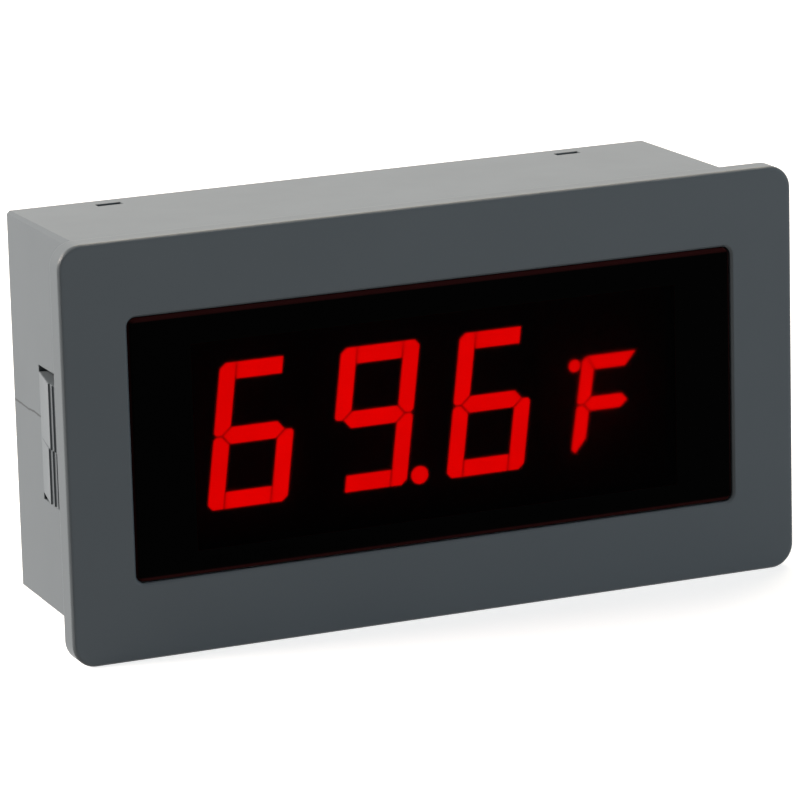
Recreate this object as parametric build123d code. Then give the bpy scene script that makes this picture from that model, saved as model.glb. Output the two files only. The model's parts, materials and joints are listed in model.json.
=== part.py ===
from build123d import *
import math
import os

# Digital panel meter that snaps into a panel cut-out. All sizes are millimetres.
# The origin is the middle of the seat behind the flange, X runs right, Y runs back
# through the panel and Z runs up.

# Flange and case
flange_width = 79.0
flange_height = 42.2
flange_thickness = 2.4
flange_corner = 2.4
flange_edge_bevel = 0.2
seat_side = 3.57
seat_top = 1.15
box_depth = 23.6
box_corner = 0.5
rim_bevel = 0.2
draft_angle = 0.8
wall = 1.8
face_wall = 2.0

# Window in the front wall, and the red filter that fills it
border_side = 6.85
border_top = 7.75
window_corner = 0.9
window_chamfer = 0.25
filter_fit = 0.12
filter_recess = 0.1
filter_edge_bevel = 0.3
filter_flange = 1.0
filter_flange_thickness = 0.7

# Snap tabs in the side walls, moulded with the case
tab_low = -7.7
tab_high = 4.75
tab_split = -2.0
tab_slit = 0.7
tab_ramp = 5.4
tab_end = 2.05
tab_front_slit = 0.8
tab_first_riser = 9.85
tab_stand = 0.8
tab_thickness = 1.2
tab_overlap = 0.6
tooth_pitch = 1.1
tooth_depth = 0.2

# Rear cover and its four snap hooks
cover_thickness = 1.8
cover_fit = 0.12
cover_step = 0.9
hook_offset = 25.5
hook_width = 2.4
hook_thickness = 1.2
hook_length = 1.5
hook_nose = 1.1
hook_clearance = 0.12
catch_width = 2.7
catch_length = 1.0
catch_setback = 0.3
pad_size = 1.6

# Circuit boards and what they stand on
board_thickness = 1.6
board_edge_play = 0.5
terminal_board_side_play = 0.77
terminal_board_hook_play = 0.4
terminal_board_gap = 1.8
boss_from_side = 4.0
boss_from_top = 1.7
boss_radius = 2.0
boss_hole_depth = 6.0
post_size = 3.0
rib_reach = 2.7
rib_thickness = 1.5
rib_set_in = 0.3

# The two screws that hold the display board on its bosses
screw_radius = 1.0
screw_clearance = 0.05
screw_head_radius = 1.7
screw_head_height = 1.3
screw_slot_width = 0.5
screw_slot_depth = 0.6
screw_gap = 0.5
screw_hole_play = 0.15

# Three large digits
digit_width = 8.5
digit_height = 14.75
digit_case_side = 2.05
digit_case_top = 2.1
digit_case_depth = 8.0
digit_case_gap = 0.3
digit_row_shift = 0.055
digit_z = -0.34
digit_bar = 1.7
digit_bar_gap = 0.12
digit_corner = 0.55
digit_slant = 7.3
digit_point_out = 0.54
digit_point_up = 0.78
digit_point_radius = 0.93
digit_row_spacing = 15.24
digit_lead_pitch = 2.54
digit_gap = 0.25

# The smaller digit that shows the unit, mounted upside down
unit_width = 6.5
unit_height = 10.0
unit_case_side = 1.75
unit_case_top = 1.5
unit_case_set_back = 1.0
unit_case_gap = 1.83
unit_z = -2.18
unit_bar = 1.45
unit_corner = 0.45
unit_slant = 8.5
unit_point_out = 0.18
unit_point_up = 0.85
unit_point_radius = 0.65
unit_row_spacing = 10.16
unit_lead_pitch = 2.0

segment_depth = 0.8
lead_size = 0.5
lead_play = 0.1
lead_stand = 1.2

# Parts on the display board
chip_width = 7.5
chip_height = 2.3
chip_stand = 0.15
chip_x = -6.1
chip_z = 0.0
chip_lead_count = 10
chip_lead_pitch = 1.27
chip_end_stand = 0.06
chip_lead_width = 0.42
chip_lead_thickness = 0.25
chip_lead_reach = 1.4
chip_foot_share = 0.55
link_pin_count = 10
link_pitch = 2.54
link_from_edge = 1.7
link_strip_width = 2.4
link_strip_height = 2.5
link_pin_size = 0.64

# Parts on the front of the terminal board
capacitor_radius = 3.15
capacitor_room = 2.25
capacitor_x = -22.0
capacitor_z = -8.5
regulator_length = 6.5
regulator_width = 3.5
regulator_height = 1.6
regulator_x = -22.0
regulator_z = 6.0
regulator_lead_pitch = 2.3
regulator_lead_width = 0.7
regulator_lead_reach = 1.7
chip_part_length = 2.0
chip_part_width = 1.25
chip_part_height = 0.6
chip_part_cap = 0.4
chip_part_cap_wrap = 0.04
chip_part_pitch = 3.0
resistor_count = 6
resistor_x = -14.0
resistor_z = 9.5
ceramic_count = 4
ceramic_height = 1.0
ceramic_x = -14.0
ceramic_from_link = 2.9
diode_length = 4.3
diode_width = 2.6
diode_height = 2.2
diode_x = 24.0
diode_z = 9.0

# Trimmer for the reading, reached through a hole in the rear cover
trimmer_x = -20.0
trimmer_z = 0.0
trimmer_width = 3.4
trimmer_height = 4.0
trimmer_base = 1.0
trimmer_rotor_radius = 1.35
trimmer_rotor_play = 0.1
trimmer_rotor_height = 0.8
trimmer_rotor_sink = 0.4
trimmer_slot_width = 0.4
trimmer_slot_depth = 0.35
trimmer_slot_length = 1.9
trimmer_hole_radius = 1.6

# Terminal block: rising cages drawn up by captive screws
pole_count = 4
pole_pitch = 5.08
terminal_x = 6.0
terminal_z = -2.0
terminal_depth = 8.4
terminal_shoulder = 8.4
terminal_top_set_in = 0.4
terminal_back_slope = 2.0
terminal_window_play = 0.3
groove_width = 0.6
groove_depth = 0.5
cage_width = 3.4
cage_depth = 3.6
cage_play = 0.1
cage_side = 0.45
cage_floor = 0.6
cage_roof = 0.9
cage_rest = 3.4
cage_travel = 1.5
cage_front_wall = 1.0
wire_gap = 1.8
entry_width = 3.0
contact_thickness = 0.6
contact_width = 2.2
contact_leg_depth = 0.8
contact_leg_width = 1.0
contact_play = 0.1
clamp_screw_radius = 1.15
clamp_screw_play = 0.05
clamp_screw_tip = 0.15
clamp_head_radius = 1.75
clamp_head_height = 1.5
clamp_head_play = 0.15
clamp_head_sink = 0.6
clamp_shoulder = 0.6
clamp_slot_width = 0.6
clamp_slot_depth = 0.8

# Levels along Y that several pieces share
front = -flange_thickness
face_back = front + face_wall
tab_root = tab_first_riser + tab_ramp
filter_back = face_back + filter_flange_thickness
digit_front = filter_back + digit_gap
display_board_front = digit_front + digit_case_depth
display_board_back = display_board_front + board_thickness
cover_front = box_depth - cover_thickness
terminal_board_back = cover_front - terminal_board_gap
terminal_board_front = terminal_board_back - board_thickness
catch_back = cover_front - catch_setback
catch_front = catch_back - catch_length
unit_case_depth = digit_case_depth - unit_case_set_back
unit_front = display_board_front - unit_case_depth


def draft_at(y):
    # How far the drafted walls have drawn in at a depth behind the seat
    return y * math.tan(math.radians(draft_angle))


# Sizes and places that follow from those of another piece
box_width = flange_width - 2 * seat_side
box_height = flange_height - 2 * seat_top
window_width = flange_width - 2 * border_side
window_height = flange_height - 2 * border_top
hook_face = box_height / 2 - wall - draft_at(cover_front) - hook_clearance
display_board_half_width = box_width / 2 - wall - rib_reach - board_edge_play
display_board_half_height = box_height / 2 - wall - draft_at(display_board_back) - board_edge_play
terminal_board_half_width = box_width / 2 - wall - draft_at(terminal_board_back) - terminal_board_side_play
terminal_board_half_height = hook_face - hook_thickness - terminal_board_hook_play
boss_x = display_board_half_width - boss_from_side
boss_z = display_board_half_height - boss_from_top
rib_z = terminal_board_half_height - rib_set_in
link_z = link_from_edge - terminal_board_half_height
ceramic_z = link_z + ceramic_from_link
digit_case_width = digit_width + 2 * digit_case_side
digit_case_height = digit_height + 2 * digit_case_top
unit_case_width = unit_width + 2 * unit_case_side
unit_case_height = unit_height + 2 * unit_case_top
digit_pitch = digit_case_width + digit_case_gap
digit_row_width = 3 * digit_case_width + 2 * digit_case_gap + unit_case_gap + unit_case_width
digit_middle_x = digit_row_shift - digit_row_width / 2 + digit_pitch + digit_case_width / 2
unit_x = digit_row_shift + digit_row_width / 2 - unit_case_width / 2
chip_length = chip_lead_count * chip_lead_pitch + 2 * chip_end_stand
capacitor_height = terminal_board_front - display_board_back - capacitor_room


def outline(width, height, radius=0.0):
    # A rectangle in X and Z, with round corners where a radius is given
    if radius > 0:
        return RectangleRounded(width, height, radius)
    return Rectangle(width, height)


def carried(profile, start, end, taper=0.0):
    # Carries a flat outline in X and Z back from Y = start to Y = end
    plane = Plane(origin=(0, start, 0), x_dir=(1, 0, 0), z_dir=(0, -1, 0))
    return extrude(plane * profile, amount=end - start, dir=(0, 1, 0), taper=taper)


def block(x, y, z):
    # A block from three pairs of limits
    size = (x[1] - x[0], y[1] - y[0], z[1] - z[0])
    return Pos((x[0] + x[1]) / 2, (y[0] + y[1]) / 2, (z[0] + z[1]) / 2) * Box(*size)


def across(middle, width):
    # The two limits of something of a width about its middle
    return middle - width / 2, middle + width / 2


def block_at(x, z, width, height, start, end):
    # A block centred on a point of the X and Z plane
    return block(across(x, width), (start, end), across(z, height))


def rod(x, z, radius, start, end):
    # A round bar along Y
    return carried(Pos(x, z) * Circle(radius), start, end)


def corners(x, z):
    # The four mirror images of a point
    return [(sx * x, sz * z) for sx in (-1, 1) for sz in (-1, 1)]


def boss_places():
    # Two corners of the display board are screwed down
    return [(-boss_x, boss_z), (boss_x, -boss_z)]


def post_places():
    # The other two corners rest on plain posts
    return [(boss_x, boss_z), (-boss_x, -boss_z)]


def cover_outline(gap):
    # The step inside the rear rim, drawn in by a gap
    half_gap = cover_step + gap + draft_at(cover_front)
    return outline(box_width - 2 * half_gap, box_height - 2 * half_gap)


def tab_column(first_riser, low, high):
    # Section of the snap tab in X and Y: a ramp up from the root, then sawteeth facing the flange
    crest = box_width / 2 + tab_stand
    root_face = box_width / 2 - draft_at(tab_root)
    back = tab_root + tab_overlap
    valley = crest - tooth_depth
    spring = valley - tab_thickness
    points = [
        (root_face - tab_thickness, back), (root_face - draft_at(tab_overlap), back), (root_face, tab_root),
    ]
    riser = first_riser
    while riser > tab_end:
        points.append((crest, riser))
        points.append((valley, riser))
        riser -= tooth_pitch
    points.append((valley + tooth_depth * (riser + tooth_pitch - tab_end) / tooth_pitch, tab_end))
    points.append((spring, tab_end))
    points.append((spring, first_riser))
    face = make_face(Polyline(*points, close=True))
    return Pos(0, 0, low) * extrude(face, amount=high - low)


def snap_tabs():
    # Two columns of teeth side by side, half a tooth apart, on each side of the case
    upper = tab_column(tab_first_riser, tab_split, tab_high)
    lower = tab_column(tab_first_riser + tooth_pitch / 2, tab_low, tab_split)
    right = upper + lower
    return right, mirror(right, about=Plane.YZ)


def tab_slots():
    # The slits round each tab, cut through the side walls
    inner = box_width / 2 - wall - draft_at(tab_root) - tab_stand
    outer = box_width / 2 + tab_stand
    start = tab_end - tab_front_slit
    right = block((inner, outer), (start, tab_root), (tab_low - tab_slit, tab_high + tab_slit))
    return right, mirror(right, about=Plane.YZ)


def case_shell():
    # Flange and drafted box, hollowed from behind, with the window and the step for the rear cover
    flange = carried(outline(flange_width, flange_height, flange_corner), front, 0)
    flange = chamfer(flange.faces().sort_by(Axis.Y)[0].edges(), flange_edge_bevel)
    plan = outline(box_width, box_height)
    box = carried(chamfer(plan.vertices(), box_corner), 0, box_depth, draft_angle)
    box = chamfer(box.faces().sort_by(Axis.Y)[-1].edges(), rim_bevel)
    inset = 2 * wall + 2 * draft_at(face_back)
    cavity = outline(box_width - inset, box_height - inset)
    shell = flange + box
    shell -= carried(cavity, face_back, box_depth, draft_angle)
    shell -= carried(outline(window_width, window_height, window_corner), front, face_back)
    lip = shell.edges().filter_by_position(Axis.Y, front - 0.01, front + 0.01)
    lip = lip.filter_by(lambda e: abs(e.center().X) < window_width / 2 + 0.01)
    lip = lip.filter_by(lambda e: abs(e.center().Z) < window_height / 2 + 0.01)
    shell = chamfer(lip, window_chamfer)
    return shell - carried(cover_outline(0), cover_front, box_depth)


def wall_web(x, z, end):
    # A web that ties a boss or post to the wall above or below it
    reach = math.copysign(box_height / 2 - wall / 2, z)
    return block(across(x, rib_thickness), (face_back, end), (min(z, reach), max(z, reach)))


def board_rests():
    # Two screw bosses and two posts that the display board sits on
    rests = None
    for x, z in boss_places():
        boss = rod(x, z, boss_radius, face_back, display_board_front) + wall_web(x, z, display_board_front)
        rests = boss if rests is None else rests + boss
    for x, z in post_places():
        rests += block_at(x, z, post_size, post_size, face_back, display_board_front)
        rests += wall_web(x, z, display_board_front)
    hole_start = display_board_front - boss_hole_depth
    for x, z in boss_places():
        rests -= rod(x, z, screw_radius + screw_clearance, hole_start, display_board_front)
    return rests


def board_ribs():
    # Four ribs in the corners that the terminal board sits on
    outer = box_width / 2 - wall / 2
    inner = box_width / 2 - wall - rib_reach
    inset = wall + 2 * draft_at(terminal_board_front)
    inside = carried(outline(box_width - inset, box_height - inset), face_back, box_depth)
    ribs = None
    for x, z in corners((outer + inner) / 2, rib_z):
        rib = block_at(x, z, outer - inner, rib_thickness, face_back, terminal_board_front) & inside
        ribs = rib if ribs is None else ribs + rib
    return ribs


def make_housing():
    # Shell, snap tabs, rests for the boards and catch slots, all one moulding
    shell = case_shell()
    for slot in tab_slots():
        shell -= slot
    for tab in snap_tabs():
        shell += tab
    shell += board_rests()
    shell += board_ribs()
    for x, z in corners(hook_offset, box_height / 2 - wall / 2 - draft_at(catch_front)):
        shell -= block_at(x, z, catch_width, 2 * wall, catch_front, catch_back)
    return shell


def make_window_filter():
    # A tinted sheet with a raised pad that fills the window from behind
    pad_front = front + filter_recess
    pad = outline(window_width - 2 * filter_fit, window_height - 2 * filter_fit, window_corner - filter_fit)
    pad = carried(pad, pad_front, face_back)
    pad = chamfer(pad.faces().sort_by(Axis.Y)[0].edges(), filter_edge_bevel)
    flange = outline(window_width + 2 * filter_flange, window_height + 2 * filter_flange)
    sheet = pad + carried(flange, face_back, filter_back)
    notch = 2 * (boss_radius + filter_fit)
    for x, z in corners(boss_x, boss_z):
        sheet -= block_at(x, z, notch, notch, face_back, filter_back)
    return sheet


def cover_hook(x, side):
    # An arm with a nose that has a lead-in slope towards the front and a square catch face behind
    nose_back = catch_back - hook_clearance
    nose_front = catch_front + hook_clearance
    root = side * (hook_face - hook_thickness)
    face = side * hook_face
    tip = side * (hook_face + hook_nose)
    section = Polyline(
        (cover_front, root), (cover_front, face), (nose_back, face), (nose_back, tip),
        ((nose_back + nose_front) / 2, tip), (nose_front, face), (cover_front - hook_length, face),
        (cover_front - hook_length, root),
        close=True,
    )
    return Pos(x, 0, 0) * extrude(Plane.YZ * make_face(section), amount=hook_width / 2, both=True)


def make_rear_cover():
    # A flush plate with four hooks, four pads, a terminal window and a trimmer hole
    plate = carried(cover_outline(cover_fit), cover_front, box_depth)
    plate = chamfer(plate.faces().sort_by(Axis.Y)[-1].edges(), window_chamfer)
    for x, side in corners(hook_offset, 1):
        plate += cover_hook(x, side)
    pad_x = terminal_board_half_width - pad_size / 2
    pad_z = terminal_board_half_height - pad_size / 2
    for x, z in corners(pad_x, pad_z):
        plate += block_at(x, z, pad_size, pad_size, terminal_board_back, cover_front)
    opening = outline(
        pole_count * pole_pitch + 2 * terminal_window_play, terminal_depth + 2 * terminal_window_play
    )
    plate -= carried(Pos(terminal_x, terminal_z) * opening, cover_front, box_depth)
    plate -= rod(trimmer_x, trimmer_z, trimmer_hole_radius, cover_front, box_depth)
    return plate


def digit_outlines(width, height, bar, corner, slant, mitred, point):
    # The seven bars and the point of a digit, leaning by the slant, about its centre
    w, h, gap = width / 2, height / 2, digit_bar_gap
    lean = math.tan(math.radians(slant))
    nip = corner / 2
    upright = [
        (w - corner, h), (w, h - corner), (w, gap / 2 + nip), (w - nip, gap / 2), (w - bar / 2, gap / 2),
        (w - bar, (bar + gap) / 2), (w - bar, h - bar if mitred else h),
    ]
    level_end = w - bar - gap
    level_tip = level_end + bar - corner if mitred else level_end
    level = [(-level_tip, h), (level_tip, h), (level_end, h - bar), (-level_end, h - bar)]
    tip = w - bar / 2 - gap
    middle = [
        (-tip, 0), (-level_end, bar / 2), (level_end, bar / 2), (tip, 0), (level_end, -bar / 2),
        (-level_end, -bar / 2),
    ]

    def bar_face(points, sx=1, sz=1):
        leaning = [(sx * x + sz * z * lean, sz * z) for x, z in points]
        return make_face(Polyline(*leaning, close=True))

    point_x, point_z, point_radius = point
    return {
        "a": bar_face(level),
        "b": bar_face(upright),
        "c": bar_face(upright, 1, -1),
        "d": bar_face(level, 1, -1),
        "e": bar_face(upright, -1, -1),
        "f": bar_face(upright, -1, 1),
        "g": bar_face(middle),
        "p": Pos(point_x, point_z) * Circle(point_radius),
    }


def make_digit(x, z, outlines, lit, case_size, level):
    # One display: a moulded case, the clear bars that light, the bars that stay dark
    width, height, depth = case_size
    bars = {}
    for name, face in outlines.items():
        bars[name] = carried(Pos(x, z) * face, level, level + segment_depth)
    case = block_at(x, z, width, height, level, level + depth)
    for bar in bars.values():
        case -= bar
    bright = Compound(children=[bars[name] for name in bars if name in lit])
    dark = Compound(children=[bars[name] for name in bars if name not in lit])
    return case, bright, dark


def lead_places(x, z, count, pitch, rows):
    # Two rows of leads about a centre
    first = x - pitch * (count - 1) / 2
    return [(first + pitch * i, z + side * rows / 2) for side in (-1, 1) for i in range(count)]


def leads(places, size, start, end):
    # Square leads along Y, one solid each
    return [block_at(x, z, size, size, start, end) for x, z in places]


def drilled(board, places, size, start, end):
    # Clears a lead hole in a board at each place
    for x, z in places:
        board -= block_at(x, z, size + 2 * lead_play, size + 2 * lead_play, start, end)
    return board


def link_places():
    first = -link_pitch * (link_pin_count - 1) / 2
    return [(first + link_pitch * i, link_z) for i in range(link_pin_count)]


def digit_centres():
    return [digit_middle_x + digit_pitch * i for i in (-1, 0, 1)]


def digit_leads(x):
    return lead_places(x, digit_z, 5, digit_lead_pitch, digit_row_spacing)


def unit_leads():
    return lead_places(unit_x, unit_z, 5, unit_lead_pitch, unit_row_spacing)


def make_display_board():
    shape = outline(2 * display_board_half_width, 2 * display_board_half_height)
    board = carried(shape, display_board_front, display_board_back)
    for x, z in boss_places():
        board -= rod(x, z, screw_radius + screw_hole_play, display_board_front, display_board_back)
    for x in digit_centres():
        board = drilled(board, digit_leads(x), lead_size, display_board_front, display_board_back)
    board = drilled(board, unit_leads(), lead_size, display_board_front, display_board_back)
    return drilled(board, link_places(), link_pin_size, display_board_front, display_board_back)


def make_board_screws():
    # Slotted cheese heads on the back of the board, shanks down into the bosses
    screws = []
    head_top = display_board_back + screw_head_height
    for x, z in boss_places():
        head = rod(x, z, screw_head_radius, display_board_back, head_top)
        head -= block_at(x, z, 2 * screw_head_radius, screw_slot_width, head_top - screw_slot_depth, head_top)
        shank_end = display_board_front - boss_hole_depth + screw_gap
        screws.append(head + rod(x, z, screw_radius, shank_end, display_board_back))
    return Compound(children=screws)


def gull_lead(x, z, side, base, reach, top, width):
    # A flat lead bent out of a chip body, down, and along the board
    t = chip_lead_thickness
    foot = reach * chip_foot_share
    points = [
        (0, top), (0, top - t), (-(reach - foot) + t, top - t), (-(reach - foot) + t, 0),
        (-reach, 0), (-reach, t), (-(reach - foot), t), (-(reach - foot), top),
    ]
    section = make_face(Polyline(*[(base + y, z - side * d) for d, y in points], close=True))
    return Pos(x, 0, 0) * extrude(Plane.YZ * section, amount=width / 2, both=True)


def make_chip():
    start = display_board_back + chip_stand
    end = display_board_back + chip_height
    body = block_at(chip_x, chip_z, chip_length, chip_width, start, end)
    body = chamfer(body.faces().sort_by(Axis.Y)[-1].edges(), chip_lead_thickness)
    top = chip_height / 2
    legs = []
    for side in (-1, 1):
        for i in range(chip_lead_count):
            x = chip_x + chip_lead_pitch * (i - (chip_lead_count - 1) / 2)
            z = chip_z + side * chip_width / 2
            legs.append(gull_lead(x, z, side, display_board_back, chip_lead_reach, top, chip_lead_width))
    return body, Compound(children=legs)


def make_link():
    # A pin strip on the display board, its pins soldered in both boards
    length = link_pitch * link_pin_count
    strip_end = display_board_back + link_strip_height
    strip = block_at(0, link_z, length, link_strip_width, display_board_back, strip_end)
    strip = drilled(strip, link_places(), link_pin_size, display_board_back, strip_end)
    start = display_board_front - lead_stand / 2
    pins = leads(link_places(), link_pin_size, start, terminal_board_back + lead_stand)
    return strip, Compound(children=pins)


def make_capacitor():
    # The can stands on the front of the terminal board
    front_end = terminal_board_front - capacitor_height
    return rod(capacitor_x, capacitor_z, capacitor_radius, front_end, terminal_board_front)


def front_gull(x, z, side, reach, top, width):
    # A bent lead for a part on the front of the terminal board
    lead = gull_lead(0, z, side, 0, reach, top, width)
    return Pos(x, terminal_board_front, 0) * mirror(lead, about=Plane.XZ)


def make_regulator():
    # Three leads on one side, and a wide tab on the other
    start = terminal_board_front - regulator_height
    end = terminal_board_front - chip_stand / 2
    body = block_at(regulator_x, regulator_z, regulator_length, regulator_width, start, end)
    body = chamfer(body.faces().sort_by(Axis.Y)[0].edges(), chip_lead_thickness)
    low = regulator_z - regulator_width / 2
    high = regulator_z + regulator_width / 2
    top = regulator_height / 2
    reach = regulator_lead_reach
    legs = []
    for i in (-1, 0, 1):
        x = regulator_x + i * regulator_lead_pitch
        legs.append(front_gull(x, low, -1, reach, top, regulator_lead_width))
    tab_width = regulator_lead_pitch + regulator_lead_width
    legs.append(front_gull(regulator_x, high, 1, reach, top, tab_width))
    return body, Compound(children=legs)


def chip_part(x, z, height):
    # A small leadless part: a body with plated ends that wrap slightly round it
    start = terminal_board_front - height
    wrap = chip_part_cap_wrap
    length = chip_part_length - 2 * chip_part_cap
    body = block_at(x, z, length, chip_part_width - 2 * wrap, start + wrap, terminal_board_front - wrap)
    for side in (-1, 1):
        cap_x = x + side * (chip_part_length - chip_part_cap) / 2
        body += block_at(cap_x, z, chip_part_cap, chip_part_width, start, terminal_board_front)
    return body


def make_chip_parts(x, z, count, height):
    return Compound(children=[chip_part(x + chip_part_pitch * i, z, height) for i in range(count)])


def make_diode():
    start = terminal_board_front - diode_height
    body = block_at(diode_x, diode_z, diode_length, diode_width, start, terminal_board_front)
    return chamfer(body.faces().sort_by(Axis.Y)[0].edges(), chip_lead_thickness)


def make_trimmer():
    # An open trimmer: a square base with a cup, and a round rotor with a cross slot
    start = terminal_board_back
    base_end = start + trimmer_base
    base = block_at(trimmer_x, trimmer_z, trimmer_width, trimmer_height, start, base_end)
    cup_radius = trimmer_rotor_radius + trimmer_rotor_play
    base -= rod(trimmer_x, trimmer_z, cup_radius, base_end - trimmer_rotor_sink, base_end)
    rotor_start = base_end - trimmer_rotor_sink
    rotor_end = rotor_start + trimmer_rotor_height
    rotor = rod(trimmer_x, trimmer_z, trimmer_rotor_radius, rotor_start, rotor_end)
    slot_start = rotor_end - trimmer_slot_depth
    rotor -= block_at(trimmer_x, trimmer_z, trimmer_slot_length, trimmer_slot_width, slot_start, rotor_end)
    rotor -= block_at(trimmer_x, trimmer_z, trimmer_slot_width, trimmer_slot_length, slot_start, rotor_end)
    return base, rotor


def pole_places():
    first = terminal_x - pole_pitch * (pole_count - 1) / 2
    return [first + pole_pitch * i for i in range(pole_count)]


# Levels of the terminal block above the back of its board
cage_bottom = terminal_board_back + cage_rest
cage_window_low = cage_bottom + cage_floor
contact_low = cage_window_low + wire_gap
contact_high = contact_low + contact_thickness
cage_roof_low = contact_high + clamp_screw_tip + contact_play
cage_top = cage_roof_low + cage_roof
chamber_low = cage_bottom - cage_play
chamber_high = cage_top + cage_travel + cage_play
head_low = chamber_high + clamp_shoulder + cage_play
head_high = head_low + clamp_head_height
terminal_back = head_high + clamp_head_sink
terminal_front_face = terminal_z - terminal_depth / 2
cage_z0 = terminal_front_face + cage_front_wall
chamber_z1 = cage_z0 + cage_depth + 2 * cage_play


def make_terminal_body():
    # Section in Y and Z: a deep base, a slope on the wire side and a narrower top
    base = terminal_board_back
    low = terminal_front_face
    high = terminal_z + terminal_depth / 2
    shoulder = base + terminal_shoulder
    rise = shoulder + terminal_back_slope
    section = make_face(
        Polyline(
            (base, low), (shoulder, low), (shoulder + terminal_top_set_in, low + terminal_top_set_in),
            (terminal_back, low + terminal_top_set_in), (terminal_back, high - terminal_back_slope),
            (rise, high - terminal_back_slope), (shoulder, high), (base, high),
            close=True,
        )
    )
    half = pole_count * pole_pitch / 2
    body = Pos(terminal_x, 0, 0) * extrude(Plane.YZ * section, amount=half, both=True)
    for i in range(1, pole_count):
        x = terminal_x - half + pole_pitch * i
        body -= block_at(x, low, groove_width, 2 * groove_depth, base, terminal_back)
        body -= block_at(x, high, groove_width, 2 * groove_depth, base, terminal_back)
    for x in pole_places():
        for cut in pole_cuts(x):
            body -= cut
    return body


def pole_cuts(x):
    # What one pole takes out of the body: chamber, wire entry, screw hole, head hole and contact slot
    screw_z = cage_z0 + cage_play + cage_depth / 2
    slot_end = chamber_z1 + contact_leg_depth + contact_play
    shank_hole = 2 * (clamp_screw_radius + clamp_head_play)
    bar_slot = across(x, contact_width + 2 * contact_play)
    leg_slot = across(x, contact_leg_width + 2 * contact_play)
    return [
        block(across(x, cage_width + 2 * cage_play), (chamber_low, chamber_high), (cage_z0, chamber_z1)),
        block(across(x, entry_width), (cage_window_low, contact_high), (terminal_front_face, cage_z0)),
        block_at(x, screw_z, shank_hole, shank_hole, chamber_high, head_high),
        rod(x, screw_z, clamp_head_radius + clamp_head_play, head_low - cage_play, terminal_back),
        block(bar_slot, (contact_low - contact_play, contact_high + contact_play), (chamber_z1, slot_end)),
        block(leg_slot, (terminal_board_back, contact_low), (chamber_z1 - contact_play, slot_end)),
    ]


def make_contact(x):
    # A bar through the cage, with a leg down through the board
    leg_z = chamber_z1 + contact_leg_depth
    bar = block(across(x, contact_width), (contact_low, contact_high), (cage_z0 + cage_play, leg_z))
    tail = terminal_board_front - lead_stand
    return bar + block(across(x, contact_leg_width), (tail, contact_low), (chamber_z1, leg_z))


def make_cage(x):
    # A brass loop that the screw draws back against the contact bar
    low = cage_z0 + cage_play
    high = low + cage_depth
    cage = block(across(x, cage_width), (cage_bottom, cage_top), (low, high))
    cage -= block(across(x, cage_width - 2 * cage_side), (cage_window_low, cage_roof_low), (low, high))
    cage -= rod(x, low + cage_depth / 2, clamp_screw_radius + clamp_screw_play, cage_roof_low, cage_top)
    return cage


def make_clamp_screw(x):
    # A slotted cheese head held in the body, its shank through the roof of the cage
    z = cage_z0 + cage_play + cage_depth / 2
    head = rod(x, z, clamp_head_radius, head_low, head_high)
    head -= block_at(x, z, clamp_slot_width, 2 * clamp_head_radius, head_high - clamp_slot_depth, head_high)
    return head + rod(x, z, clamp_screw_radius, contact_high + clamp_screw_tip, head_low)


def make_terminal_board():
    shape = outline(2 * terminal_board_half_width, 2 * terminal_board_half_height)
    board = carried(shape, terminal_board_front, terminal_board_back)
    board = drilled(board, link_places(), link_pin_size, terminal_board_front, terminal_board_back)
    leg_z = chamber_z1 + contact_leg_depth / 2
    hole = contact_leg_width + 2 * lead_play
    for x in pole_places():
        board -= block_at(x, leg_z, hole, hole, terminal_board_front, terminal_board_back)
    return board


def write(name, shape):
    shape.label = name
    export_step(shape, f"parts/{name}.step")


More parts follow.
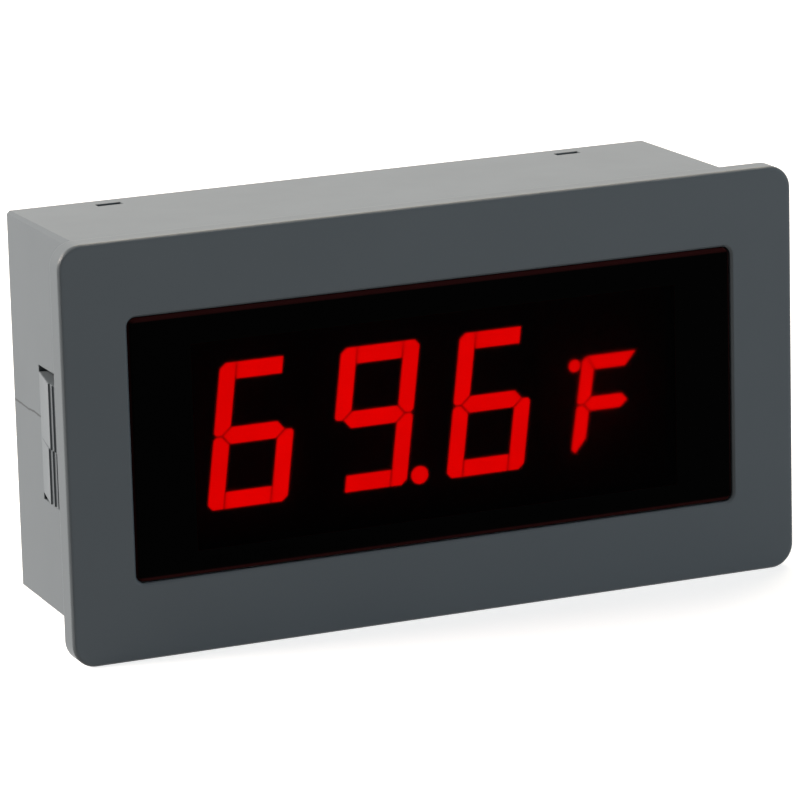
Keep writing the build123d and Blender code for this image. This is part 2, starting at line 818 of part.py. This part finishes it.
def main():
    os.makedirs("parts", exist_ok=True)
    write("housing", make_housing())
    write("window_filter", make_window_filter())
    write("rear_cover", make_rear_cover())
    write("display_board", make_display_board())
    write("terminal_board", make_terminal_board())
    write("display_board_screws", make_board_screws())

    point = (digit_width / 2 + digit_point_out, digit_point_up - digit_height / 2, digit_point_radius)
    large = digit_outlines(digit_width, digit_height, digit_bar, digit_corner, digit_slant, False, point)
    large_case = (digit_case_width, digit_case_height, digit_case_depth)
    for number, (x, lit) in enumerate(zip(digit_centres(), ("acdefg", "abcdfgp", "acdefg")), 1):
        case, bright, dark = make_digit(x, digit_z, large, lit, large_case, digit_front)
        write(f"digit_{number}_case", case)
        write(f"digit_{number}_lit_segments", bright)
        write(f"digit_{number}_dark_segments", dark)
        tails = leads(digit_leads(x), lead_size, display_board_front, display_board_back + lead_stand)
        write(f"digit_{number}_leads", Compound(children=tails))

    point = (-unit_width / 2 - unit_point_out, unit_height / 2 - unit_point_up, unit_point_radius)
    small = digit_outlines(unit_width, unit_height, unit_bar, unit_corner, unit_slant, True, point)
    small_case = (unit_case_width, unit_case_height, unit_case_depth)
    case, bright, dark = make_digit(unit_x, unit_z, small, "aefgp", small_case, unit_front)
    write("unit_digit_case", case)
    write("unit_digit_lit_segments", bright)
    write("unit_digit_dark_segments", dark)
    tails = leads(unit_leads(), lead_size, display_board_front, display_board_back + lead_stand)
    write("unit_digit_leads", Compound(children=tails))

    chip, chip_legs = make_chip()
    write("driver_chip", chip)
    write("driver_chip_leads", chip_legs)
    strip, pins = make_link()
    write("board_link_strip", strip)
    write("board_link_pins", pins)

    write("smoothing_capacitor", make_capacitor())
    regulator, regulator_legs = make_regulator()
    write("voltage_regulator", regulator)
    write("voltage_regulator_leads", regulator_legs)
    write("chip_resistors", make_chip_parts(resistor_x, resistor_z, resistor_count, chip_part_height))
    write("ceramic_capacitors", make_chip_parts(ceramic_x, ceramic_z, ceramic_count, ceramic_height))
    write("input_diode", make_diode())
    base, rotor = make_trimmer()
    write("trimmer_base", base)
    write("trimmer_rotor", rotor)

    write("terminal_block", make_terminal_body())
    write("terminal_contacts", Compound(children=[make_contact(x) for x in pole_places()]))
    for number, x in enumerate(pole_places(), 1):
        write(f"terminal_cage_{number}", make_cage(x))
        write(f"terminal_screw_{number}", make_clamp_screw(x))


main()
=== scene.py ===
import json

import bmesh
import bpy
from mathutils import Matrix, Vector

# Studio shot of a snap-in digital panel meter, seen from its front left, a little from above

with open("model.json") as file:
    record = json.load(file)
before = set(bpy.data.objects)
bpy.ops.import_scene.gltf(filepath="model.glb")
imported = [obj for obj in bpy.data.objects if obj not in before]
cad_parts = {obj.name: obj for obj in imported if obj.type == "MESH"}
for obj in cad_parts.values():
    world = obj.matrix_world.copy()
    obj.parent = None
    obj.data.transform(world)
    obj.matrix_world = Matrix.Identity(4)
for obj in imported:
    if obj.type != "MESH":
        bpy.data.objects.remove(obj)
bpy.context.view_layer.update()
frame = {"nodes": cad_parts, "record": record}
nodes = frame["nodes"]
scene = bpy.context.scene
mm = 0.001
plainEdge = 0.05 * mm  # what a pressed or moulded edge has of itself
noiseRange = (0.3, 0.7)  # where nearly all of a noise lies
print("frame loaded, nodes:", len(nodes))


def colour(text):
    # sRGB hex to the linear values that Blender works with
    parts = [int(text[i:i + 2], 16) / 255 for i in (0, 2, 4)]
    linear = [c / 12.92 if c <= 0.04045 else ((c + 0.055) / 1.055) ** 2.4 for c in parts]
    return (*linear, 1.0)


def addNode(tree, kind, settings=None, **inputs):
    # Adds one shader node. Inputs go by name, or by number as i0, i1 and on, and each takes a value or a
    # socket to link from
    node = tree.nodes.new(kind)
    for name, value in (settings or {}).items():
        setattr(node, name, value)
    for name, value in inputs.items():
        key = int(name[1:]) if name[0] == "i" and name[1:].isdigit() else name.replace("_", " ")
        socket = node.inputs[key]
        if isinstance(value, bpy.types.NodeSocket):
            tree.links.new(value, socket)
        else:
            socket.default_value = value
    return node


def newMaterial(name):
    # An empty material with its shader, and the place of each point in metres
    material = bpy.data.materials.new(name)
    material.use_nodes = True
    tree = material.node_tree
    tree.nodes.clear()
    shader = addNode(tree, "ShaderNodeBsdfPrincipled")
    addNode(tree, "ShaderNodeOutputMaterial", Surface=shader.outputs[0])
    place = addNode(tree, "ShaderNodeTexCoord").outputs["Object"]
    return material, tree, shader, place


def mottle(tree, place, sizeMm, low, high):
    # A value that drifts between two levels over patches about this wide
    cloud = addNode(tree, "ShaderNodeTexNoise", Vector=place, Scale=1000 / sizeMm, Detail=3.0)
    start, end = noiseRange
    return addNode(
        tree, "ShaderNodeMapRange", i0=cloud.outputs["Fac"], i1=start, i2=end, i3=low, i4=high
    ).outputs[0]


def patchy(tree, place, sizeMm, first, second):
    # Two close tints that drift into each other
    share = mottle(tree, place, sizeMm, 0.0, 1.0)
    return addNode(
        tree, "ShaderNodeMix", {"data_type": "RGBA"}, i0=share, i6=colour(first), i7=colour(second)
    ).outputs[2]


def layered(tree, look, *layers):
    # Lays tints over a look in turn, each where its own mask holds
    for mask, tint in layers:
        look = addNode(tree, "ShaderNodeMix", {"data_type": "RGBA"}, i0=mask, i6=look, i7=tint).outputs[2]
    return look


def grainy(tree, place, sizeMm, depthMm, edge=plainEdge):
    # Fine relief over a whole surface, on edges that catch the light as if rounded by this radius
    cloud = addNode(tree, "ShaderNodeTexNoise", Vector=place, Scale=1000 / sizeMm, Detail=2.0)
    rounded = addNode(tree, "ShaderNodeBevel", {"samples": 6}, Radius=edge)
    return addNode(
        tree, "ShaderNodeBump", Height=cloud.outputs["Fac"], Distance=depthMm * mm, Normal=rounded.outputs[0]
    )


def near(tree, value, centreMm, halfMm, softMm=0.02):
    # 1 where a length lies within half a width of its centre, and fades to 0 past it
    offset = addNode(tree, "ShaderNodeMath", {"operation": "SUBTRACT"}, i0=value, i1=centreMm * mm)
    reach = addNode(tree, "ShaderNodeMath", {"operation": "ABSOLUTE"}, i0=offset.outputs[0]).outputs[0]
    end = (halfMm + softMm) * mm
    return addNode(tree, "ShaderNodeMapRange", i0=reach, i1=halfMm * mm, i2=end, i3=1.0, i4=0.0).outputs[0]


def fromAxis(tree, x, z, centreMm):
    # How far a point lies from a line along Y: across, along and straight
    across, along = (
        addNode(tree, "ShaderNodeMath", {"operation": "SUBTRACT"}, i0=value, i1=middle * mm).outputs[0]
        for value, middle in zip((x, z), centreMm)
    )
    flat = addNode(tree, "ShaderNodeCombineXYZ", X=across, Y=along).outputs[0]
    straight = addNode(tree, "ShaderNodeVectorMath", {"operation": "LENGTH"}, i0=flat).outputs["Value"]
    return across, along, straight


def allOf(tree, *masks):
    # Where every mask holds
    share = masks[0]
    for mask in masks[1:]:
        share = addNode(
            tree, "ShaderNodeMath", {"operation": "MULTIPLY", "use_clamp": True}, i0=share, i1=mask
        ).outputs[0]
    return share


# How far apart tints and gloss drift, on a moulding and on a small plated part
skin = {"tintMm": 14.0, "roughMm": 8.0, "plateMm": 0.9}


def mouldedPlastic(name, tints, rough, grainMm=0.2, depthMm=0.002, edge=plainEdge):
    # Injection moulded plastic: two close tints, a satin skin and the fine grain of an eroded mould.
    # The real grain is about 0.05 mm and is drawn coarser, so that it shows
    material, tree, shader, place = newMaterial(name)
    tint = patchy(tree, place, skin["tintMm"], *tints)
    relief = grainy(tree, place, grainMm, depthMm, edge)
    tree.links.new(tint, shader.inputs["Base Color"])
    tree.links.new(mottle(tree, place, skin["roughMm"], *rough), shader.inputs["Roughness"])
    tree.links.new(relief.outputs[0], shader.inputs["Normal"])
    return material, tree, shader, place, tint, relief


caseFinish = {
    "tints": ("545b60", "52595e"), "rough": (0.29, 0.32), "specular": 0.3, "grainMm": 0.12, "depthMm": 0.0008,
    "softEdge": 0.55 * mm, "crispEdge": 0.2 * mm, "crispY": (10.6, 11.9), "windowX": 34.0, "windowZ": 15.5,
    "edgeFade": 0.3,
    "lineHeight": 0.1, "lineHalf": 0.07, "lineFade": 0.04, "lineWander": 0.25, "wanderMm": 5.0,
    "lineY": (19.4, 4.1, 0.3), "lineTint": "262a2c", "wallX": (35.7, 0.4),
}


def caseMaterial():
    # Grey ABS. The flow lines that meet behind the snap tab leave one fine dark line on each side wall.
    # The flange's rim and the rear rim are softly rounded, the window and the long edges are crisp
    f = caseFinish
    material, tree, shader, place = newMaterial("grey abs, moulded")
    shader.inputs["Specular IOR Level"].default_value = f["specular"]
    tree.links.new(mottle(tree, place, skin["roughMm"], *f["rough"]), shader.inputs["Roughness"])
    tint = patchy(tree, place, skin["tintMm"], *f["tints"])
    x, y, z = addNode(tree, "ShaderNodeSeparateXYZ", Vector=place).outputs[:3]
    side = addNode(tree, "ShaderNodeMath", {"operation": "ABSOLUTE"}, i0=x).outputs[0]
    wander = mottle(tree, place, f["wanderMm"], -f["lineWander"] * mm, f["lineWander"] * mm)
    bent = addNode(tree, "ShaderNodeMath", {"operation": "ADD"}, i0=z, i1=wander).outputs[0]
    line = allOf(
        tree, near(tree, bent, f["lineHeight"], f["lineHalf"], f["lineFade"]),
        near(tree, y, *f["lineY"]), near(tree, side, *f["wallX"]),
    )
    tree.links.new(layered(tree, tint, (line, colour(f["lineTint"]))), shader.inputs["Base Color"])
    fade = f["edgeFade"]
    window = allOf(tree, near(tree, x, 0.0, f["windowX"], fade), near(tree, z, 0.0, f["windowZ"], fade))
    box = near(tree, y, *f["crispY"], fade)
    crisp = addNode(tree, "ShaderNodeMath", {"operation": "MAXIMUM"}, i0=box, i1=window)
    edge = addNode(tree, "ShaderNodeMapRange", i0=crisp.outputs[0], i3=f["softEdge"], i4=f["crispEdge"])
    relief = grainy(tree, place, f["grainMm"], f["depthMm"], edge.outputs[0])
    tree.links.new(relief.outputs[0], shader.inputs["Normal"])
    return material


filterFinish = {
    "tints": ("400000", "3d0000"), "paintedShadeTint": "020202", "edgeTint": "341515", "ior": 1.05, "rough": 0.55,
    "tintMm": 9.0, "clearX": (0.1, 26.2), "clearZ": (-0.4, 10.4),
    "edgeX": 32.35, "edgeZ": 12.75, "fade": 0.25,
}


def filterMaterial():
    # Cast acrylic sheet, dyed deep red, with a dull coat against glare, so it hardly mirrors the room.
    # Outside the clear area the sheet is drawn near black, painted shade that hides the inside of the case
    # behind it, and the sawn edge lets a little red out. The IOR is well under that of bare acrylic, because
    # the coat and not the sheet sets what it mirrors
    f = filterFinish
    material, tree, shader, place = newMaterial("red acrylic, cast sheet")
    x, y, z = addNode(tree, "ShaderNodeSeparateXYZ", Vector=place).outputs[:3]
    clear = allOf(tree, near(tree, x, *f["clearX"]), near(tree, z, *f["clearZ"]))
    fade = f["fade"]
    inner = allOf(tree, near(tree, x, 0.0, f["edgeX"], fade), near(tree, z, 0.0, f["edgeZ"], fade))
    dyed = patchy(tree, place, f["tintMm"], *f["tints"])
    # Near black round the clear area is painted shade, standing in for the dark inside of the case
    look = layered(tree, colour(f["edgeTint"]), (inner, colour(f["paintedShadeTint"])), (clear, dyed))
    tree.links.new(look, shader.inputs["Base Color"])
    tree.links.new(clear, shader.inputs["Transmission Weight"])
    shader.inputs["IOR"].default_value = f["ior"]
    shader.inputs["Roughness"].default_value = f["rough"]
    return material


glowFinish = {
    "tint": "ff0200", "resin": "6a1512", "strength": (14.26, 15.5), "patchMm": 2.2, "rough": 0.5,
    "unlit": ("2a0c0b", "210908"), "unlitMm": 1.5,
}


def glowMaterial():
    # Resin cast into the light wells, which glows evenly and falls off a shade between its light sources
    f = glowFinish
    material, tree, shader, place = newMaterial("red resin, cast and lit")
    shader.inputs["Base Color"].default_value = colour(f["resin"])
    shader.inputs["Roughness"].default_value = f["rough"]
    shader.inputs["Emission Color"].default_value = colour(f["tint"])
    glow = mottle(tree, place, f["patchMm"], *f["strength"])
    tree.links.new(glow, shader.inputs["Emission Strength"])
    return material


def resinMaterial():
    # The same resin with no light behind it, close to the black of the case round it
    f = glowFinish
    material, tree, shader, place = newMaterial("red resin, cast and unlit")
    tree.links.new(patchy(tree, place, f["unlitMm"], *f["unlit"]), shader.inputs["Base Color"])
    shader.inputs["Roughness"].default_value = f["rough"]
    return material


def platedMetal(name, tints, rough, grainMm=0.25, depthMm=0.002, edge=plainEdge):
    # Drawn or stamped metal with a thin bright plating, which shines a little unevenly
    material, tree, shader, place = newMaterial(name)
    shader.inputs["Metallic"].default_value = 1.0
    tree.links.new(patchy(tree, place, skin["plateMm"], *tints), shader.inputs["Base Color"])
    tree.links.new(mottle(tree, place, grainMm * 2, *rough), shader.inputs["Roughness"])
    tree.links.new(grainy(tree, place, grainMm, depthMm, edge).outputs[0], shader.inputs["Normal"])
    return material


boardFinish = {
    "mask": ("0e4a2a", "0c4126"), "rough": (0.22, 0.3), "track": "1c6238", "edge": ("b5a468", "a6955c"),
    "via": "b9bcbf",
    "rowMm": 1.27, "runMm": 11.0, "trackMm": 0.16, "stagger": 0.37, "staggerRows": 3,
    "patchMm": 16.0, "patches": (-4.0, 7.0), "trackDepthMm": 0.03,
    "viaEveryMm": 3.3, "viaMm": 0.35, "viaScatter": 0.7, "viaFade": 1.2, "fibreMm": 1.0,
}


def boardMaterial():
    # Solder mask over glass fibre. Copper tracks show through it as raised lighter runs with steps between
    # them, in some areas and not in others, with tinned holes among them
    f = boardFinish
    material, tree, shader, place, tint, grain = mouldedPlastic(
        "solder mask, printed", f["mask"], f["rough"]
    )
    x, y, z = addNode(tree, "ShaderNodeSeparateXYZ", Vector=place).outputs[:3]
    flat = addNode(tree, "ShaderNodeCombineXYZ", X=x, Y=z).outputs[0]
    stagger = {"offset": f["stagger"], "offset_frequency": f["staggerRows"]}
    runs = addNode(
        tree, "ShaderNodeTexBrick", stagger, Vector=flat,
        Color1=(0, 0, 0, 1), Color2=(0, 0, 0, 1), Mortar=(1, 1, 1, 1), Scale=1000.0,
        Mortar_Size=f["trackMm"], Brick_Width=f["runMm"], Row_Height=f["rowMm"],
    ).outputs["Color"]
    tracks = allOf(tree, runs, mottle(tree, place, f["patchMm"], *f["patches"]))
    vias = addNode(
        tree, "ShaderNodeTexVoronoi", Vector=flat, Scale=1000 / f["viaEveryMm"], Randomness=f["viaScatter"]
    )
    rim = f["viaMm"] / f["viaEveryMm"]
    faded = rim * f["viaFade"]
    via = addNode(
        tree, "ShaderNodeMapRange", i0=vias.outputs["Distance"], i1=rim, i2=faded, i3=1.0, i4=0.0
    ).outputs[0]
    normal = addNode(tree, "ShaderNodeTexCoord").outputs["Normal"]
    facing = addNode(tree, "ShaderNodeSeparateXYZ", Vector=normal).outputs["Y"]
    face = addNode(tree, "ShaderNodeMath", {"operation": "ABSOLUTE"}, i0=facing).outputs[0]
    via = allOf(tree, via, face)
    look = layered(tree, tint, (tracks, colour(f["track"])), (via, colour(f["via"])))
    look = layered(tree, patchy(tree, place, f["fibreMm"], *f["edge"]), (face, look))
    tree.links.new(look, shader.inputs["Base Color"])
    tree.links.new(via, shader.inputs["Metallic"])
    relief = addNode(
        tree, "ShaderNodeBump", Height=tracks, Distance=f["trackDepthMm"] * mm, Normal=grain.outputs[0]
    )
    tree.links.new(relief.outputs[0], shader.inputs["Normal"])
    return material


chipFinish = {
    "tints": ("1a1b1d", "1f2022"), "rough": (0.5, 0.6), "grainMm": 0.15, "depthMm": 0.006, "edge": 0.06 * mm,
    "dimple": (-11.3, -2.6), "dimpleSize": (0.5, 0.06), "dimpleTint": "2c2d30",
    "bandX": (22.7, 0.3), "bandZ": (9.0, 2.0), "bandTint": "8c8f92",
}


def chipMaterial():
    # Epoxy pressed round the chips, matt. The driver has a round dimple at its first lead, the diode a band
    f = chipFinish
    material, tree, shader, place, tint, grain = mouldedPlastic(
        "black epoxy resin, moulded", f["tints"], f["rough"], f["grainMm"], f["depthMm"], f["edge"]
    )
    x, y, z = addNode(tree, "ShaderNodeSeparateXYZ", Vector=place).outputs[:3]
    reach = fromAxis(tree, x, z, f["dimple"])[2]
    dimple = near(tree, reach, 0.0, *f["dimpleSize"])
    band = allOf(tree, near(tree, x, *f["bandX"]), near(tree, z, *f["bandZ"]))
    look = layered(tree, tint, (dimple, colour(f["dimpleTint"])), (band, colour(f["bandTint"])))
    tree.links.new(look, shader.inputs["Base Color"])
    return material


canFinish = {
    "sleeve": ("17182c", "1b1c33"), "rough": (0.25, 0.35), "stripe": "b9bcc6", "metal": "c4c7ca",
    "centre": (-22.0, -8.5), "top": (2.55, 0.05), "stripeZ": (3.2, 0.9), "grooveHalf": 0.08,
    "grooveDepthMm": 0.15,
}


def canMaterial():
    # Shrunk plastic sleeve with a pale stripe, and the aluminium top of the can with its scored cross
    f = canFinish
    material, tree, shader, place, tint, grain = mouldedPlastic(
        "pvc sleeve, shrunk on", f["sleeve"], f["rough"]
    )
    x, y, z = addNode(tree, "ShaderNodeSeparateXYZ", Vector=place).outputs[:3]
    across, along, reach = fromAxis(tree, x, z, f["centre"])
    normal = addNode(tree, "ShaderNodeTexCoord").outputs["Normal"]
    facing = addNode(tree, "ShaderNodeSeparateXYZ", Vector=normal).outputs["Y"]
    end = addNode(tree, "ShaderNodeMath", {"operation": "ABSOLUTE"}, i0=facing).outputs[0]
    top = allOf(tree, near(tree, reach, 0.0, *f["top"]), end)
    cross = addNode(
        tree, "ShaderNodeMath", {"operation": "MAXIMUM"},
        i0=near(tree, across, 0.0, f["grooveHalf"]), i1=near(tree, along, 0.0, f["grooveHalf"]),
    ).outputs[0]
    stripe = near(tree, along, *f["stripeZ"])
    look = layered(tree, tint, (stripe, colour(f["stripe"])), (top, colour(f["metal"])))
    tree.links.new(look, shader.inputs["Base Color"])
    tree.links.new(top, shader.inputs["Metallic"])
    scored, depth = allOf(tree, top, cross), f["grooveDepthMm"] * mm
    relief = addNode(
        tree, "ShaderNodeBump", {"invert": True}, Height=scored, Distance=depth, Normal=grain.outputs[0]
    )
    tree.links.new(relief.outputs[0], shader.inputs["Normal"])
    return material


chipPartFinish = {"first": -14.0, "pitch": 3.0, "bodyHalf": 0.6, "tinned": "b4b7b9", "grainMm": 0.15}


def chipPartMaterial(name, tints, rough):
    # A fired body between two tinned ends that shine, the same for each part of the row
    f = chipPartFinish
    material, tree, shader, place, tint, grain = mouldedPlastic(name, tints, rough, f["grainMm"])
    x, y, z = addNode(tree, "ShaderNodeSeparateXYZ", Vector=place).outputs[:3]
    offset = addNode(tree, "ShaderNodeMath", {"operation": "SUBTRACT"}, i0=x, i1=f["first"] * mm).outputs[0]
    half = f["pitch"] / 2 * mm
    within = addNode(tree, "ShaderNodeMath", {"operation": "WRAP"}, i0=offset, i1=half, i2=-half).outputs[0]
    body = near(tree, within, 0.0, f["bodyHalf"])
    ends = addNode(tree, "ShaderNodeMath", {"operation": "SUBTRACT"}, i0=1.0, i1=body).outputs[0]
    tree.links.new(layered(tree, tint, (ends, colour(f["tinned"]))), shader.inputs["Base Color"])
    tree.links.new(ends, shader.inputs["Metallic"])
    return material


slots = {
    "grey_abs": caseMaterial(),
    "red_acrylic": filterMaterial(),
    "board_green": boardMaterial(),
    "digit_black": mouldedPlastic("black paint on a digit's face", ("08080a", "0b0b0d"), (0.6, 0.7))[0],
    "segment_lit": glowMaterial(),
    "segment_dark": resinMaterial(),
    "tinned_metal": platedMetal("copper, tinned", ("b9bcbf", "a8abb0"), (0.28, 0.42)),
    "zinc_steel": platedMetal("steel, zinc plated", ("b4b8ba", "9fa3a6"), (0.25, 0.4), edge=0.08 * mm),
    "chip_black": chipMaterial(),
    "strip_black": mouldedPlastic("black nylon, moulded", ("141416", "1a1a1c"), (0.45, 0.55))[0],
    "can_sleeve": canMaterial(),
    "resistor_ceramic": chipPartMaterial("black glaze on alumina", ("191a1d", "232428"), (0.25, 0.4)),
    "capacitor_ceramic": chipPartMaterial("tan ceramic, fired", ("9a7650", "8d6b48"), (0.45, 0.6)),
    "trimmer_white": mouldedPlastic(
        "white alumina, fired", ("d9d6cc", "cfccc2"), (0.5, 0.6), depthMm=0.004
    )[0],
    "terminal_green": mouldedPlastic(
        "green polyamide, moulded", ("2f7d46", "2b7541"), (0.36, 0.44),
        grainMm=0.25, depthMm=0.004, edge=0.15 * mm,
    )[0],
    "cage_brass": platedMetal("brass, stamped", ("b59a63", "a58c59"), (0.25, 0.4), edge=0.06 * mm),
}
for part in frame["record"]["subparts"]:
    mesh = nodes[part["node"]].data
    mesh.materials.clear()
    mesh.materials.append(slots[part["material_slot"]])
print("materials set:", len(slots))


studio = {
    "floorZ": -0.0211, "floorSize": 6.0, "paper": 0.6, "paperGlow": 0.76, "bounce": 0.25, "surround": 0.115,
}

# Gloss leaves the front lamp out, or the top of the case would mirror it white when seen from behind
lamps = {
    "key": {
        "power": 22.0, "size": 0.5, "place": (-0.78, 0.3, 0.5), "tint": (1.0, 0.89, 0.8), "mirrored": True,
    },
    "fill": {
        "power": 7.0, "size": 0.6, "place": (0.3, 0.5, 0.8), "tint": (1.0, 0.88, 0.7), "mirrored": True,
    },
    "front": {
        "power": 1.95, "size": 0.3, "place": (0.42, -0.4, 0.05), "tint": (0.84, 0.94, 1.0), "mirrored": False,
    },
}


def levelFor(tree, light, mirror, eye):
    # One level for the light that bounces, one for mirrors and clear things, one for the camera
    path = addNode(tree, "ShaderNodeLightPath")
    clear = addNode(
        tree, "ShaderNodeMath", {"operation": "MAXIMUM"},
        i0=path.outputs["Is Glossy Ray"], i1=path.outputs["Is Transmission Ray"],
    )
    level = addNode(tree, "ShaderNodeMapRange", i0=clear.outputs[0], i3=light, i4=mirror)
    return addNode(
        tree, "ShaderNodeMapRange", i0=path.outputs["Is Camera Ray"], i3=level.outputs[0], i4=eye
    ).outputs[0]


def makeFloor():
    # White paper that keeps the object's shadow. Mirrors see it plain white, the light sees a mid grey
    mesh = bpy.data.meshes.new("floor")
    bm = bmesh.new()
    bmesh.ops.create_grid(bm, x_segments=1, y_segments=1, size=studio["floorSize"] / 2)
    bm.to_mesh(mesh)
    bm.free()
    floor = bpy.data.objects.new("floor", mesh)
    floor.location = (0, 0, studio["floorZ"])
    scene.collection.objects.link(floor)
    material = bpy.data.materials.new("white paper sweep")
    material.use_nodes = True
    tree = material.node_tree
    tree.nodes.clear()
    shade = levelFor(tree, studio["bounce"], 0.0, studio["paper"])
    paper = addNode(tree, "ShaderNodeBsdfDiffuse", Color=shade)
    level = levelFor(tree, 0.0, 1.0, studio["paperGlow"])
    glow = addNode(tree, "ShaderNodeEmission", Color=(1, 1, 1, 1), Strength=level)
    sheet = addNode(tree, "ShaderNodeAddShader", i0=paper.outputs[0], i1=glow.outputs[0])
    addNode(tree, "ShaderNodeOutputMaterial", Surface=sheet.outputs[0])
    mesh.materials.append(material)


def makeWorld():
    # White behind the object for the eye and for reflections, a plain grey surround for the light
    world = bpy.data.worlds.new("studio")
    world.use_nodes = True
    scene.world = world
    tree = world.node_tree
    tree.nodes.clear()
    level = levelFor(tree, studio["surround"], 1.0, 1.0)
    back = addNode(tree, "ShaderNodeBackground", Color=(1, 1, 1, 1), Strength=level)
    addNode(tree, "ShaderNodeOutputWorld", Surface=back.outputs[0])


def makeLamp(name, values):
    # A square soft box that looks at the object
    lamp = bpy.data.lights.new(name, "AREA")
    lamp.energy = values["power"]
    lamp.size = values["size"]
    lamp.color = values["tint"]
    rig = bpy.data.objects.new(name, lamp)
    rig.location = values["place"]
    rig.rotation_euler = (-rig.location).to_track_quat("-Z", "Y").to_euler()
    rig.visible_glossy = values["mirrored"]
    scene.collection.objects.link(rig)


view = {
    "lens": 237.3, "sensorMm": 36.0, "clipEnd": 20.0,
    "place": (-0.203609, -0.469132, 0.127160), "right": (0.916788, -0.398555, -0.02557),
    "up": (0.118399, 0.210089, 0.970487), "forward": (0.38142, 0.892758, -0.239795),
}


def makeCamera():
    # A long lens from about half a metre, as the photo's flat perspective shows
    eye = bpy.data.cameras.new("camera")
    eye.lens = view["lens"]
    eye.sensor_width = view["sensorMm"]
    eye.clip_end = view["clipEnd"]
    rig = bpy.data.objects.new("camera", eye)
    turn = Matrix((Vector(view["right"]), Vector(view["up"]), -Vector(view["forward"]))).transposed().to_4x4()
    rig.matrix_world = Matrix.Translation(view["place"]) @ turn
    scene.collection.objects.link(rig)
    scene.camera = rig


makeFloor()
makeWorld()
for name, values in lamps.items():
    makeLamp(name, values)
makeCamera()
scene.view_settings.view_transform = "Standard"
print("studio set")
